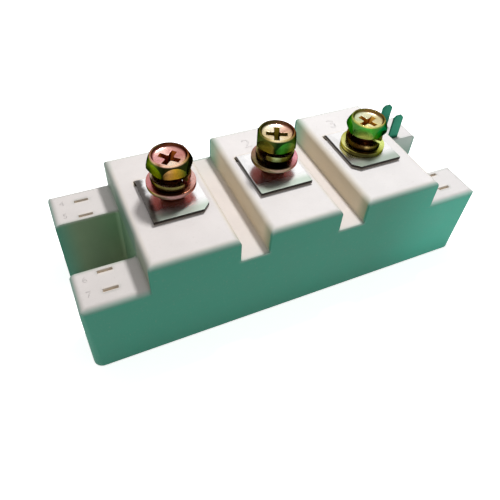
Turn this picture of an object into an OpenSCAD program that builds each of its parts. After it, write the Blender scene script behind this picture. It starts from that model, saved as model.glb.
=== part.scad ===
// Power module with three screw terminals, a one-piece moulded housing and a flat metal base.
// Millimetres. X runs along the module, Y across it and Z up from the heat sink face.
// The origin is the centre of the heat sink face.

/* [Housing] */
// Length of the housing
body_l = 94; // [92:0.5:100]
// Width of the housing at its foot
body_w = 34; // [33:0.5:38]
// Height of the ears at the four corners
ear_h = 19.6; // [18.5:0.1:20.5]
// Height of the channel floors between the blocks
channel_h = 20.3; // [19:0.1:21.5]
// Height of the three terminal blocks
block_h = 26.3; // [25.5:0.1:28]
// Length of the centre block
centre_block_l = 16.5; // [16:0.1:18]
// Length of each outer block
outer_block_l = 18.55; // [17.5:0.05:19]
// Width of the channels between the blocks
channel_l = 6.45; // [5.5:0.05:7]
// Thickness of the side walls
wall = 2; // [1.5:0.1:2.2]
// Thickness of the roofs
roof = 2.2; // [1.8:0.1:2.6]
// Slope of the outer walls in degrees
draft = 0.8; // [0.2:0.1:1.2]
// Radius of the upright corners at the ends
corner_r = 2; // [0.5:0.1:2.5]
// Radius along the top edges
edge_r = 1.3; // [0.4:0.1:1.4]
// Gap from the heat sink up to the foot of the walls
foot_gap = 0.3; // [0.1:0.1:0.6]

/* [Mounting] */
// Distance from each end of the housing to its mounting hole
hole_edge = 7; // [6.5:0.1:7.5]
// Diameter of the mounting holes
hole_d = 6.4; // [5.4:0.1:6.8]
// Width of the ears beside the notches
ear_w = 9.9; // [9.6:0.1:10.5]
// Thickness of the walls beside the notches
notch_wall = 0.8; // [0.6:0.1:1]
// Radius of the notches' inner corners
notch_r = 1; // [0.4:0.1:1.6]

/* [Base plate] */
// Thickness of the base plate
base_t = 3; // [2.5:0.1:3.5]
// Width of the rim that the housing leaves round the base plate
base_rim = 1.2; // [0.8:0.1:1.4]
// Radius of the base plate's corners
base_r = 1.4; // [0.4:0.1:2]
// Thickness of the adhesive between the housing and the base plate
seal_t = 0.3; // [0.2:0.1:0.6]

/* [Main terminals] */
// Distance from one terminal to the next
terminal_pitch = 23; // [22.5:0.1:23.5]
// Length of a terminal plate along the module
terminal_l = 12; // [11.4:0.1:12.8]
// Reach of a terminal plate from the screw to its front edge
terminal_front = 6.9; // [6:0.1:7.4]
// Reach of a terminal plate from the screw to its folded edge
terminal_back = 7.05; // [6.8:0.05:7.6]
// Thickness of the terminal sheet
terminal_t = 0.9; // [0.8:0.1:1]
// Inner radius of the folds
fold_r = 0.5; // [0.3:0.1:0.6]
// Size of the cut corner of each outer terminal plate
terminal_cut = 1.6; // [0.5:0.1:2.2]
// Gap between a terminal plate and the block under it
terminal_gap = 0.2; // [0.1:0.05:0.3]
// Width of a terminal leg
leg_w = 4.6; // [4:0.1:4.8]
// Length of a terminal foot
foot_l = 3.2; // [2.5:0.1:3.6]

/* [Screws] */
// Nominal thread diameter
thread_d = 5; // [4:0.5:5]
// Length of a screw below its head
screw_l = 14; // [12:1:14]
// Distance across the flats of the screw heads and nuts
hex_af = 8; // [7.6:0.1:8.2]
// Height of a screw head
head_h = 3; // [2.8:0.1:3.6]
// Height of a nut
nut_h = 4; // [3.2:0.1:4.4]
// Outer diameter of a flat washer
washer_d = 10; // [9:0.1:11]
// Thickness of a flat washer
washer_t = 1; // [0.8:0.1:1.2]
// Outer diameter of a spring washer
spring_d = 8.2; // [7.6:0.1:9]
// Thickness of a spring washer's section
spring_t = 1.2; // [1:0.1:1.3]
// Free height of a spring washer
spring_h = 2.5; // [2.2:0.1:2.6]
// Play of the washers under a screw head
stack_play = 0.7; // [0.2:0.1:1]
// Height of the left screw's washers above the terminal
lift_left = 2.5; // [0:0.1:3.4]
// Height of the centre screw's washers above the terminal
lift_centre = 2.3; // [0:0.1:3.4]
// Height of the right screw's washers above the terminal
lift_right = 0.1; // [0:0.1:3.4]

/* [Blade tabs] */
// Width of a blade tab
tab_w = 2.8; // [2.6:0.1:3]
// Thickness of a blade tab
tab_t = 0.5; // [0.4:0.05:0.6]
// Height of a blade tab above the ears
tab_out = 6.8; // [6:0.1:8]
// Distance between the two tabs of a pair
tab_pitch = 4.8; // [4.4:0.1:5]
// Clearance between a blade tab and each side of its slot
slot_gap = 0.1; // [0.1:0.05:0.2]

/* [Circuit] */
// Thickness of the ceramic tiles
ceramic_t = 0.63; // [0.38:0.01:1]
// Thickness of the copper on each face of a tile
copper_t = 0.3; // [0.2:0.05:0.4]
// Thickness of the solder under a tile
tile_solder_t = 0.15; // [0.1:0.05:0.3]
// Thickness of the solder under a chip
chip_solder_t = 0.1; // [0.05:0.01:0.15]
// Space between the two tiles
tile_gap = 2; // [1.6:0.1:2.2]
// Space between the tiles and the walls
tile_clear = 0.9; // [0.6:0.1:1.1]
// Margin of bare ceramic round the copper
copper_margin = 0.4; // [0.3:0.1:0.5]
// Space between two copper pads
pad_gap = 0.7; // [0.4:0.1:1]
// Side of a switch chip
switch_l = 8; // [7:0.1:8.4]
// Side of a diode chip
diode_l = 8; // [7:0.1:8.4]
// Thickness of the chips
chip_t = 0.3; // [0.2:0.05:0.4]
// Width of a bond ribbon
ribbon_w = 1.8; // [1:0.1:2]
// Thickness of a bond ribbon
ribbon_t = 0.3; // [0.2:0.05:0.3]
// Distance from one bond ribbon to the next
ribbon_pitch = 2.5; // [2.2:0.1:2.6]
// Bond ribbons on each chip
ribbon_count = 3; // [1:1:3]
// Level of the gel above the base plate
gel_h = 7; // [6:0.1:8]

/* [Hidden] */
$fn = 48;

// A cutter reaches this far past what it cuts
past = 1;
// Faces of soft or fitted pieces keep this far apart
fit_gap = 0.05;

// Plan of the housing
centre_out = centre_block_l / 2;
outer_in = centre_out + channel_l;
outer_out = outer_in + outer_block_l;
body_end = body_l / 2;
notch_end = outer_out;
notch_w = body_w - 2 * ear_w;
hole_x = body_end - hole_edge;
block_spans = [[-outer_out, -outer_in], [-centre_out, centre_out], [outer_in, outer_out]];

// Levels from the heat sink face upwards
seat_z = base_t + seal_t;
tile_copper_z = base_t + tile_solder_t;
ceramic_z = tile_copper_z + copper_t;
pad_z = ceramic_z + ceramic_t;
pad_top = pad_z + copper_t;
chip_z = pad_top + chip_solder_t;
chip_top = chip_z + chip_t;
gel_z = base_t + gel_h;
terminal_z = block_h + terminal_gap;
terminal_top = terminal_z + terminal_t;
nut_drop = 0.3;
nut_z = block_h - nut_drop - nut_h;

// Fasteners; the neck is thinner than the thread, so that the thread holds the washers on the screw
neck_cut = 0.35;
washer_hold = 0.2;
spring_hold = 0.05;
hole_gap = 0.25;
pocket_gap = 0.15;
thread_r = thread_d / 2;
neck_r = thread_r - neck_cut;
washer_bore_r = thread_r - washer_hold;
spring_bore_r = thread_r - spring_hold;
terminal_hole_r = thread_r + hole_gap;
nut_bore_r = thread_r + fit_gap;
pocket_af = hex_af + 2 * pocket_gap;
stack_h = washer_t + spring_h + stack_play;
lifts = [lift_left, lift_centre, lift_right];
head_angles = [-5.5, 3, 15];
spring_angles = [205, 195, 200];
recess_angles = [45, 64, 20];

// Screw heads: rim, crown that runs down over the corners, dish and cross recess
rim_inset = 0.3;
rim_width = 0.7;
hex_corner_r = hex_af / sqrt(3);
rim_r = hex_af / 2 - rim_inset;
crown_at_flats = 0.55;
crown_at_corners = 2;
foot_at_corners = 0.6;
dish_depth = 0.7;
dish_flare = 0.3;
dish_r = rim_r - rim_width;
recess_w = 4.8;
recess_slot = 1.1;
recess_core_r = 0.9;
recess_tip_r = 0.8;
recess_depth = 1.8;
tip_chamfer = 0.6;
nut_chamfer = 0.45;

// Boss that holds each nut, and the pit under the nut for the screw's tip
boss_wall = 1.3;
boss_x = pocket_af / sqrt(3) + boss_wall;
boss_y = pocket_af / 2 + boss_wall;
pit_gap = 0.4;
pit_r = thread_r + pit_gap;
pit_clear = 1.6;
pit_floor = 1.5;
pit_z = terminal_top + stack_h - screw_l - pit_clear;
boss_z = pit_z - pit_floor;

// Folds of the main terminals
fold_mid = fold_r + terminal_t / 2;
leg_y = terminal_back - terminal_t / 2;
leg_slot_gap = 0.2;
step_z = 11;
step_run = 0.6;
foot_y = leg_y + step_run + 2 * fold_mid;
shoulder_drop = 1;
leg_shoulder_z = block_h - roof - shoulder_drop;
cut_sides = [1, 0, -1];

// Tabs and their slots
tab_x = hole_x;
tab_clear = 0.1;
tab_inner_y = notch_w / 2 + notch_wall + tab_clear + tab_t / 2;
tab_y = [tab_inner_y, tab_inner_y + tab_pitch];
tab_rise = 2.2;
tab_arm_z = pad_top + tab_rise;
tab_arm_h = 2.2;
tab_margin = 0.3;
tab_foot_x = outer_out - wall - tile_clear - copper_margin - tab_margin - tab_w;
tab_foot_y = 2;
tab_bevel = 0.7;

// Tiles and pads
tile_in = tile_gap / 2;
tile_out = outer_out - wall - tile_clear;
tile_y = body_w / 2 - wall - tile_clear - seat_z * tan(draft) - fit_gap;
pad_in = tile_in + copper_margin;
pad_out = tile_out - copper_margin;
pad_y = tile_y - copper_margin;
landing_x = tab_foot_x - tab_margin;
gate_line_w = 1;

// Copper link that carries the emitter side over the anode pad to the cathode pad
link_w = 5;
link_t = 0.8;
link_mid_r = 0.9;
link_rise = 2.4;
link_foot = 2;
link_edge = 0.5;
link_margin = 1;
link_y = -pad_y + link_w / 2 + link_edge;

// Chips and pads that carry them
chip_gap = 1;
chip_margin = 0.6;
ribbon_land = 3;
emitter_y = link_y + link_w / 2 + ribbon_land + chip_margin;
switch_y = emitter_y + pad_gap + chip_margin + switch_l / 2;
switch_x0 = pad_in + chip_margin + switch_l / 2;
switch_x = [switch_x0, switch_x0 + switch_l + chip_gap];
anode_x = pad_in + leg_w + ribbon_land + chip_margin;
diode_x = -anode_x - pad_gap - 2 * chip_margin - diode_l / 2;
diode_y0 = link_y + link_w / 2 + chip_margin + diode_l / 2;
diode_y = [diode_y0, diode_y0 + diode_l + chip_gap];
leg_gap = 1.2;
leg_x = [
    diode_x - diode_l / 2 - leg_gap - leg_w / 2,
    -pad_in - leg_w / 2,
    switch_x[1] + switch_l / 2 + leg_gap + leg_w / 2
];
link_x0 = -anode_x - pad_gap - link_foot - link_margin;
link_x1 = pad_in + link_foot + link_margin;
link_span = link_x1 - link_x0 - 2 * link_foot - 4 * link_mid_r;

// Bond ribbons
ribbon_rise = 1.7;
ribbon_foot = 1;
ribbon_mid_r = 0.45;
ribbon_room = 0.1;
ribbon_start = 1;
ribbon_margin = 0.4;
gate_ribbon_w = 0.6;
gate_ribbon_t = 0.15;
gate_start = 1.6;
gate_edge = 1;
switch_run = ribbon_start + switch_y - emitter_y + ribbon_land - ribbon_margin;
diode_run = ribbon_start - anode_x - diode_x + ribbon_land - ribbon_margin;
gate_run = gate_start + pad_y - switch_y - switch_l / 2;

// Edges of the pads under the tabs' feet
emitter_back = tab_y[0] + tab_t / 2 + tab_margin;
gate_front = tab_y[1] - tab_t / 2 - tab_foot_y - tab_margin;

// Rectangle with round corners, about its centre
module round_rect(l, w, r) {
    if (r > 0) {
        square([l - 2 * r, w], center = true);
        square([l, w - 2 * r], center = true);
        for (x = [-1, 1], y = [-1, 1])
            translate([x * (l / 2 - r), y * (w / 2 - r)]) circle(r);
    } else {
        square([l, w], center = true);
    }
}

// Upright outline with sloping sides and round top corners; the half width is measured at level 0
module drafted_outline(half_w, h, r) {
    arc_y = h - r;
    arc_x = half_w - arc_y * tan(draft) - r / cos(draft);
    polygon([
        [-half_w, 0], [half_w, 0],
        [arc_x + r * cos(draft), arc_y + r * sin(draft)], [arc_x, h],
        [-arc_x, h], [-arc_x - r * cos(draft), arc_y + r * sin(draft)]
    ]);
    if (r > 0)
        for (x = [-arc_x, arc_x]) translate([x, arc_y]) circle(r);
}

// An outline drawn in Y and Z, run along X
module along_x(l) {
    rotate([90, 0, 90]) linear_extrude(l, center = true) children();
}

// An outline drawn in X and Z, run along Y
module along_y(l) {
    rotate([90, 0, 0]) linear_extrude(l, center = true) children();
}

// Ears at the two ends, in one piece under the outer blocks
module ear_body(inset, drop) {
    r = inset > 0 ? 0 : edge_r;
    intersection() {
        linear_extrude(ear_h) round_rect(body_l - 2 * inset, body_w - 2 * inset, max(corner_r - inset, 0));
        along_x(body_l + past) drafted_outline(body_w / 2 - inset, ear_h - drop, r);
        along_y(body_w + past) drafted_outline(body_l / 2 - inset, ear_h - drop, r);
        for (s = [-1, 1])
            translate([s * (body_end + outer_in + wall) / 2, 0, ear_h / 2])
                cube([body_end - outer_in - wall, body_w + past, ear_h + past], center = true);
    }
}

// Middle of the housing, up to the channel floors
module channel_body(inset, drop) {
    along_x(2 * (outer_out - inset)) drafted_outline(body_w / 2 - inset, channel_h - drop, 0);
}

// One terminal block from inside the ears' height up to its rounded top
module block_body(span, inset, drop) {
    r = inset > 0 ? 0 : edge_r;
    l = span[1] - span[0] - 2 * inset;
    low = ear_h - roof - past;
    intersection() {
        along_x(body_l) drafted_outline(body_w / 2 - inset, block_h - drop, r);
        translate([(span[0] + span[1]) / 2, 0, (block_h - drop) / 2])
            along_y(body_w + past) round_rect(l, block_h - drop, r);
        translate([0, 0, low + block_h / 2]) cube([body_l, body_w + past, block_h], center = true);
    }
}

// The moulding's outer form, or its inside when inset and drop are given
module moulding(inset = 0, drop = 0) {
    ear_body(inset, drop);
    channel_body(inset, drop);
    for (span = block_spans) block_body(span, inset, drop);
}

// Plan of the notch at each end, grown by a wall where one is given
module notch_plan(grow = 0) {
    for (s = [-1, 1])
        translate([s * (notch_end + body_end + past - grow) / 2, 0])
            round_rect(body_end + past - notch_end + grow, notch_w + 2 * grow, grow > 0 ? 0 : notch_r);
}

// Boss under each block's roof that carries the nut
module nut_boss(x) {
    translate([x - boss_x, -boss_y, boss_z]) cube([2 * boss_x, 2 * boss_y, block_h - roof - boss_z + past]);
}

// The hollow inside the housing
module cavity(inset, low) {
    difference() {
        moulding(inset, roof);
        translate([0, 0, -past]) linear_extrude(block_h) notch_plan(notch_wall + inset - wall);
        translate([0, 0, -past]) linear_extrude(block_h) end_wall_plan(inset);
        for (i = [-1:1]) nut_boss(i * terminal_pitch);
        translate([0, 0, low - block_h]) linear_extrude(block_h)
            square([body_l + past, body_w + past], center = true);
    }
}

// Plan of the wall that closes the hollow behind each notch
module end_wall_plan(inset) {
    half = notch_w / 2 + notch_wall + inset - wall;
    for (s = [-1, 1])
        translate([s * (notch_end + body_end - inset) / 2, 0])
            square([body_end - notch_end + inset, 2 * half], center = true);
}

// Hexagonal prism with two corners along X
module hex_prism(af, h) {
    cylinder(h = h, r = af / sqrt(3), $fn = 6);
}

// Cut-outs for one terminal: leg slot with room for the fold, nut pocket and pit
module terminal_cutouts(x) {
    translate([x, 0, 0]) {
        translate([-terminal_l / 2 - leg_slot_gap, terminal_back - terminal_t - leg_slot_gap,
                   block_h - roof - past])
            cube([terminal_l + 2 * leg_slot_gap, terminal_t + 2 * leg_slot_gap, block_h]);
        translate([-terminal_l / 2 - leg_slot_gap, terminal_back - terminal_t - fold_r, terminal_z - fold_r])
            cube([terminal_l + 2 * leg_slot_gap, terminal_t, block_h]);
        translate([0, 0, nut_z]) hex_prism(pocket_af, block_h);
        translate([0, 0, pit_z]) cylinder(h = block_h, r = pit_r);
    }
}

// One-piece moulded housing
module housing() {
    color("#e9e3de")
    difference() {
        moulding();
        cavity(wall, -past);
        translate([0, 0, -past]) linear_extrude(2 * block_h) notch_plan();
        translate([0, 0, -past]) linear_extrude(seat_z + past)
            round_rect(body_l - 2 * base_rim, body_w - 2 * base_rim, base_r);
        translate([0, 0, -past]) linear_extrude(foot_gap + past)
            square([body_l + past, body_w + past], center = true);
        for (i = [-1:1]) terminal_cutouts(i * terminal_pitch);
        for (sx = [-1, 1], sy = [-1, 1], y = tab_y)
            translate([sx * tab_x, sy * y, ear_h])
                cube([tab_w + 2 * slot_gap, tab_t + 2 * slot_gap, 2 * (roof + past)], center = true);
    }
}

// Base plate with the two mounting holes
module base_plate() {
    color("#b9bcc0")
    difference() {
        linear_extrude(base_t)
            round_rect(body_l - 2 * base_rim - 2 * fit_gap, body_w - 2 * base_rim - 2 * fit_gap, base_r);
        for (s = [-1, 1])
            translate([s * hole_x, 0, -past]) cylinder(h = base_t + 2 * past, d = hole_d);
    }
}

// Bead of adhesive under the housing's walls, on the base plate
module adhesive_seal() {
    color("#c9c4bb")
    translate([0, 0, base_t]) linear_extrude(seal_t) difference() {
        round_rect(body_l - 2 * base_rim - 2 * fit_gap, body_w - 2 * base_rim - 2 * fit_gap, base_r);
        notch_plan();
        difference() {
            square([body_l - 2 * wall - 2 * seat_z * tan(draft),
                    body_w - 2 * wall - 2 * seat_z * tan(draft)], center = true);
            notch_plan(notch_wall);
            end_wall_plan(wall);
        }
    }
}

// Part of a ring between two directions at most a right angle apart
module ring_sector(mid_r, t, from, turn) {
    reach = 2 * (mid_r + t);
    intersection() {
        difference() {
            circle(mid_r + t / 2);
            circle(mid_r - t / 2);
        }
        polygon([
            [0, 0],
            reach * [cos(from), sin(from)],
            reach * [cos(from + turn / 2), sin(from + turn / 2)],
            reach * [cos(from + turn), sin(from + turn)]
        ]);
    }
}

// Edge view of a folded strip: each step is a straight length and the turn that follows it
module folded_strip(steps, t, mid_r, i = 0) {
    if (i < len(steps)) {
        run = steps[i][0];
        turn = steps[i][1];
        side = turn < 0 ? -1 : 1;
        translate([0, -t / 2]) square([run, t]);
        if (turn != 0) {
            translate([run, side * mid_r]) ring_sector(mid_r, t, -side * 90, turn);
            translate([run + mid_r * sin(abs(turn)), side * mid_r * (1 - cos(turn))])
                rotate(turn) folded_strip(steps, t, mid_r, i + 1);
        }
    }
}

// Steps of a main terminal from its front edge to the end of its foot
function terminal_steps() = [
    [terminal_front + leg_y - fold_mid, -90],
    [terminal_z + terminal_t / 2 - 2 * fold_mid - step_z, 90],
    [step_run, -90],
    [step_z - pad_top - terminal_t / 2 - 2 * fold_mid, -90],
    [foot_l, 0]
];

// Main terminal: plate with a hole, leg with a step outwards, and foot under the plate
module main_terminal(i) {
    x = (i - 1) * terminal_pitch;
    color("#c8cacc")
    difference() {
        translate([x, -terminal_front, terminal_z + terminal_t / 2])
            along_x(terminal_l) folded_strip(terminal_steps(), terminal_t, fold_mid);
        translate([x, 0, terminal_z - past]) cylinder(h = terminal_t + 2 * past, r = terminal_hole_r);
        if (cut_sides[i] != 0)
            translate([x + cut_sides[i] * terminal_l / 2, -terminal_front, terminal_z + terminal_t / 2])
                rotate(45)
                cube([terminal_cut * sqrt(2), terminal_cut * sqrt(2), terminal_t + past], center = true);
        for (s = [-1, 1])
            translate([leg_x[i] + s * (leg_w / 2 + terminal_l), leg_y, leg_shoulder_z / 2])
                cube([2 * terminal_l, body_w / 2, leg_shoulder_z], center = true);
    }
}

// Hexagonal nut with chamfered corners
module captive_nut(i) {
    blank_r = hex_corner_r + fit_gap;
    color("#b8b9b6")
    translate([(i - 1) * terminal_pitch, 0, nut_z]) difference() {
        intersection() {
            hex_prism(hex_af, nut_h);
            rotate_extrude() polygon([
                [0, 0], [blank_r - 2 * nut_chamfer, 0], [blank_r, nut_chamfer],
                [blank_r, nut_h - nut_chamfer], [blank_r - 2 * nut_chamfer, nut_h], [0, nut_h]
            ]);
        }
        translate([0, 0, -past]) cylinder(h = nut_h + 2 * past, r = nut_bore_r);
    }
}

// Cross recess that narrows towards its tip
module cross_recess() {
    h = recess_depth + past;
    translate([0, 0, -recess_depth]) intersection() {
        cylinder(h = h, r1 = recess_tip_r, r2 = recess_w / 2 + dish_flare);
        union() {
            translate([0, 0, h / 2]) {
                cube([recess_w, recess_slot, h], center = true);
                cube([recess_slot, recess_w, h], center = true);
            }
            cylinder(h = h, r = recess_core_r);
        }
    }
}

// Head of a screw: hexagon under a round crown, with a dished top and a cross recess
module screw_head(i) {
    blank_r = hex_corner_r + fit_gap;
    difference() {
        intersection() {
            rotate(head_angles[i]) hex_prism(hex_af, head_h);
            rotate_extrude() polygon([
                [0, 0], [hex_af / 2 + fit_gap, 0], [blank_r, foot_at_corners],
                [blank_r, head_h - crown_at_corners], [hex_af / 2, head_h - crown_at_flats],
                [rim_r, head_h], [0, head_h]
            ]);
        }
        translate([0, 0, head_h]) rotate_extrude() polygon([
            [0, past], [dish_r + dish_flare, past], [dish_r + dish_flare, 0],
            [dish_r, -dish_depth], [0, -dish_depth - dish_flare]
        ]);
        translate([0, 0, head_h - dish_depth]) rotate(recess_angles[i]) cross_recess();
    }
}

// Screw with a neck that carries the washers
module terminal_screw(i) {
    color("#a8a04c")
    translate([(i - 1) * terminal_pitch, 0, terminal_top + lifts[i] + stack_h]) {
        screw_head(i);
        rotate_extrude() polygon([
            [0, fit_gap], [neck_r, fit_gap], [neck_r, -stack_h], [thread_r, -stack_h],
            [thread_r, tip_chamfer - screw_l], [thread_r - tip_chamfer, -screw_l], [0, -screw_l]
        ]);
    }
}

// Split spring washer, one open turn of a square section; split is the angle of its opening
module spring_washer(i) {
    sides = 40;
    split = 12;
    rise = spring_h - spring_t;
    bottom = terminal_top + lifts[i] + washer_t;
    function corner(k, r, up) =
        let (a = spring_angles[i] + split / 2 + (360 - split) * k / sides)
        [r * cos(a), r * sin(a), rise * k / sides + up];
    points = [for (k = [0:sides]) each [
        corner(k, spring_bore_r, 0), corner(k, spring_d / 2, 0),
        corner(k, spring_d / 2, spring_t), corner(k, spring_bore_r, spring_t)
    ]];
    walls = [for (k = [0:sides - 1], j = [0:3])
        let (m = (j + 1) % 4)
            each [[4 * k + j, 4 * k + 4 + m, 4 * k + m], [4 * k + j, 4 * k + 4 + j, 4 * k + 4 + m]]];
    ends = [[0, 1, 2], [0, 2, 3], [4 * sides, 4 * sides + 2, 4 * sides + 1],
            [4 * sides, 4 * sides + 3, 4 * sides + 2]];
    color("#8f8a4a")
    translate([(i - 1) * terminal_pitch, 0, bottom]) polyhedron(points, concat(walls, ends));
}

// Flat washer
module flat_washer(i) {
    color("#b98f86")
    translate([(i - 1) * terminal_pitch, 0, terminal_top + lifts[i]]) difference() {
        cylinder(h = washer_t, d = washer_d);
        translate([0, 0, -past]) cylinder(h = washer_t + 2 * past, r = washer_bore_r);
    }
}

// Blade tab: stamped blade, arm towards the circuit and foot on its pad
module blade_tab(y) {
    top = ear_h + tab_out;
    right = tab_x + tab_w / 2;
    color("#7f9a90")
    translate([0, y, 0]) {
        along_y(tab_t) polygon([
            [tab_foot_x, pad_top], [tab_foot_x + tab_w, pad_top], [tab_foot_x + tab_w, tab_arm_z],
            [right, tab_arm_z], [right, top - tab_bevel], [right - tab_bevel, top],
            [right - tab_w + tab_bevel, top], [right - tab_w, top - tab_bevel],
            [right - tab_w, tab_arm_z + tab_arm_h], [tab_foot_x, tab_arm_z + tab_arm_h]
        ]);
        translate([tab_foot_x, -tab_t / 2 - tab_foot_y, pad_top])
            cube([tab_w, tab_t / 2 + tab_foot_y, tab_t]);
    }
}

// A box between two corners
module span_box(low, high) {
    translate(low) cube(high - low);
}

// One layer of a tile, on the left or the right side
module tile_layer(side, z, t, margin) {
    x0 = tile_in + margin;
    x1 = tile_out - margin;
    y = tile_y - margin;
    span_box([side < 0 ? -x1 : x0, -y, z], [side < 0 ? -x0 : x1, y, z + t]);
}

module tile_solder(side) {
    color("#9c9ea1") tile_layer(side, base_t, tile_solder_t, copper_margin);
}

module bottom_copper(side) {
    color("#c07a4a") tile_layer(side, tile_copper_z, copper_t, copper_margin);
}

module ceramic_tile(side) {
    color("#f0efe9") tile_layer(side, ceramic_z, ceramic_t, 0);
}

// A copper pad from its plan
module pad() {
    color("#c07a4a") translate([0, 0, pad_z]) linear_extrude(copper_t) children();
}

// A rectangle between two corners
module span_rect(low, high) {
    translate(low) square(high - low);
}

module cathode_pad() {
    pad() span_rect([-pad_out, -pad_y], [-anode_x - pad_gap, pad_y]);
}

module anode_pad() {
    pad() span_rect([-anode_x, -pad_y], [-pad_in, pad_y]);
}

module collector_pad() {
    pad() span_rect([pad_in, emitter_y + pad_gap], [landing_x - pad_gap, pad_y - gate_line_w - pad_gap]);
}

// Emitter pad, with an arm to the foot of the emitter tab
module emitter_pad() {
    pad() {
        span_rect([pad_in, -pad_y], [pad_out, emitter_y]);
        span_rect([landing_x, -pad_y], [pad_out, emitter_back]);
    }
}

// Gate pad, a line behind the chips with an arm to the foot of the gate tab
module gate_pad() {
    pad() {
        span_rect([pad_in, pad_y - gate_line_w], [pad_out, pad_y]);
        span_rect([landing_x, gate_front], [pad_out, pad_y]);
    }
}

// A square slab centred on a chip's place
module chip_slab(p, side, z, t) {
    translate([p[0] - side / 2, p[1] - side / 2, z]) cube([side, side, t]);
}

module chip_solder() {
    color("#9c9ea1") {
        for (x = switch_x) chip_slab([x, switch_y], switch_l, pad_top, chip_solder_t);
        for (y = diode_y) chip_slab([diode_x, y], diode_l, pad_top, chip_solder_t);
    }
}

module switch_chip(i) {
    color("#5d6166") chip_slab([switch_x[i], switch_y], switch_l, chip_z, chip_t);
}

module diode_chip(i) {
    color("#54585c") chip_slab([diode_x, diode_y[i]], diode_l, chip_z, chip_t);
}

// A bond ribbon along X in the shape of a hat, from level z0 to level z1
module bond_ribbon(z0, z1, run, w, t) {
    translate([0, 0, z0 + t / 2]) along_y(w) folded_strip([
        [ribbon_foot, 90], [ribbon_rise - 2 * ribbon_mid_r, -90],
        [run - 2 * ribbon_foot - 4 * ribbon_mid_r, -90],
        [ribbon_rise + z0 - z1 - 2 * ribbon_mid_r, 90], [ribbon_foot, 0]
    ], t, ribbon_mid_r);
}

// A row of bond ribbons side by side
module ribbon_row(run) {
    for (k = [0:ribbon_count - 1])
        translate([0, (k - (ribbon_count - 1) / 2) * ribbon_pitch, 0])
            bond_ribbon(chip_top, pad_top, run, ribbon_w, ribbon_t);
}

// Places of the ribbon rows of the switch chips, the diode chips and the gates
module at_switch_rows() {
    for (x = switch_x) translate([x, switch_y + ribbon_start, 0]) rotate(-90) children();
}

module at_diode_rows() {
    for (y = diode_y) translate([diode_x - ribbon_start, y, 0]) children();
}

module at_gate_rows() {
    for (x = switch_x)
        translate([x - switch_l / 2 + gate_edge, switch_y + switch_l / 2 - gate_start, 0])
            rotate(90) children();
}

module switch_ribbons() {
    color("#d4d5d6") at_switch_rows() ribbon_row(switch_run);
}

module diode_ribbons() {
    color("#d4d5d6") at_diode_rows() ribbon_row(diode_run);
}

module gate_ribbons() {
    color("#d4d5d6") at_gate_rows() bond_ribbon(chip_top, pad_top, gate_run, gate_ribbon_w, gate_ribbon_t);
}

module bridge_link() {
    color("#c07a4a")
    translate([link_x0, link_y, pad_top + link_t / 2]) along_y(link_w) folded_strip([
        [link_foot, 90], [link_rise - 2 * link_mid_r, -90], [link_span, -90],
        [link_rise - 2 * link_mid_r, 90], [link_foot, 0]
    ], link_t, link_mid_r);
}

// Room that the gel leaves round a row of ribbons
module ribbon_row_room(run, w) {
    translate([-ribbon_room, -w / 2 - ribbon_room, pad_z])
        cube([run + 2 * ribbon_room, w + 2 * ribbon_room,
              chip_top - pad_z + ribbon_rise + ribbon_t + ribbon_room]);
}

// Gel over the circuit, with room for every piece that it surrounds
module silicone_gel() {
    g = fit_gap;
    row_w = (ribbon_count - 1) * ribbon_pitch + ribbon_w;
    color([0.9, 0.92, 0.95, 0.35])
    difference() {
        intersection() {
            cavity(wall + g, base_t);
            translate([0, 0, gel_z / 2]) cube([body_l, body_w, gel_z], center = true);
        }
        for (side = [-1, 1]) {
            tile_layer(side, base_t - past, pad_z - base_t + past, 0);
            tile_layer(side, pad_z - past, copper_t + past, copper_margin);
        }
        for (x = switch_x) chip_slab([x, switch_y], switch_l, pad_z, chip_top - pad_z);
        for (y = diode_y) chip_slab([diode_x, y], diode_l, pad_z, chip_top - pad_z);
        at_switch_rows() ribbon_row_room(switch_run, row_w);
        at_diode_rows() ribbon_row_room(diode_run, row_w);
        at_gate_rows() ribbon_row_room(gate_run, gate_ribbon_w);
        span_box([link_x0 - g, link_y - link_w / 2 - g, pad_z],
            [link_x1 + g, link_y + link_w / 2 + g, pad_top + link_t + link_rise + g]);
        for (x = leg_x) translate([x, 0, 0])
            span_box([-leg_w / 2 - g, foot_y - fold_mid - foot_l - g, pad_z],
                [leg_w / 2 + g, foot_y + terminal_t / 2 + g, gel_z + past]);
        for (y = tab_y) {
            span_box([tab_foot_x - g, y - tab_t / 2 - tab_foot_y - g, pad_z],
                [tab_foot_x + tab_w + g, y + tab_t / 2 + g, tab_arm_z + tab_arm_h + g]);
            span_box([tab_foot_x - g, y - tab_t / 2 - g, tab_arm_z - g],
                [tab_x + tab_w / 2 + g, y + tab_t / 2 + g, gel_z + past]);
        }
    }
}

housing();
base_plate();
adhesive_seal();
main_terminal(0);  // main_terminal_left
main_terminal(1);  // main_terminal_centre
main_terminal(2);  // main_terminal_right
captive_nut(0);  // captive_nut_left
captive_nut(1);  // captive_nut_centre
captive_nut(2);  // captive_nut_right
terminal_screw(0);  // terminal_screw_left
terminal_screw(1);  // terminal_screw_centre
terminal_screw(2);  // terminal_screw_right
spring_washer(0);  // spring_washer_left
spring_washer(1);  // spring_washer_centre
spring_washer(2);  // spring_washer_right
flat_washer(0);  // flat_washer_left
flat_washer(1);  // flat_washer_centre
flat_washer(2);  // flat_washer_right
blade_tab(tab_y[1]);  // gate_tab
blade_tab(tab_y[0]);  // emitter_tab
tile_solder(-1);  // tile_solder_left
tile_solder(1);  // tile_solder_right
bottom_copper(-1);  // bottom_copper_left
bottom_copper(1);  // bottom_copper_right
ceramic_tile(-1);  // ceramic_tile_left
ceramic_tile(1);  // ceramic_tile_right
cathode_pad();
anode_pad();
collector_pad();
emitter_pad();
gate_pad();
chip_solder();
switch_chip(0);  // switch_chip_inner
switch_chip(1);  // switch_chip_outer
diode_chip(0);  // diode_chip_front
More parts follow.
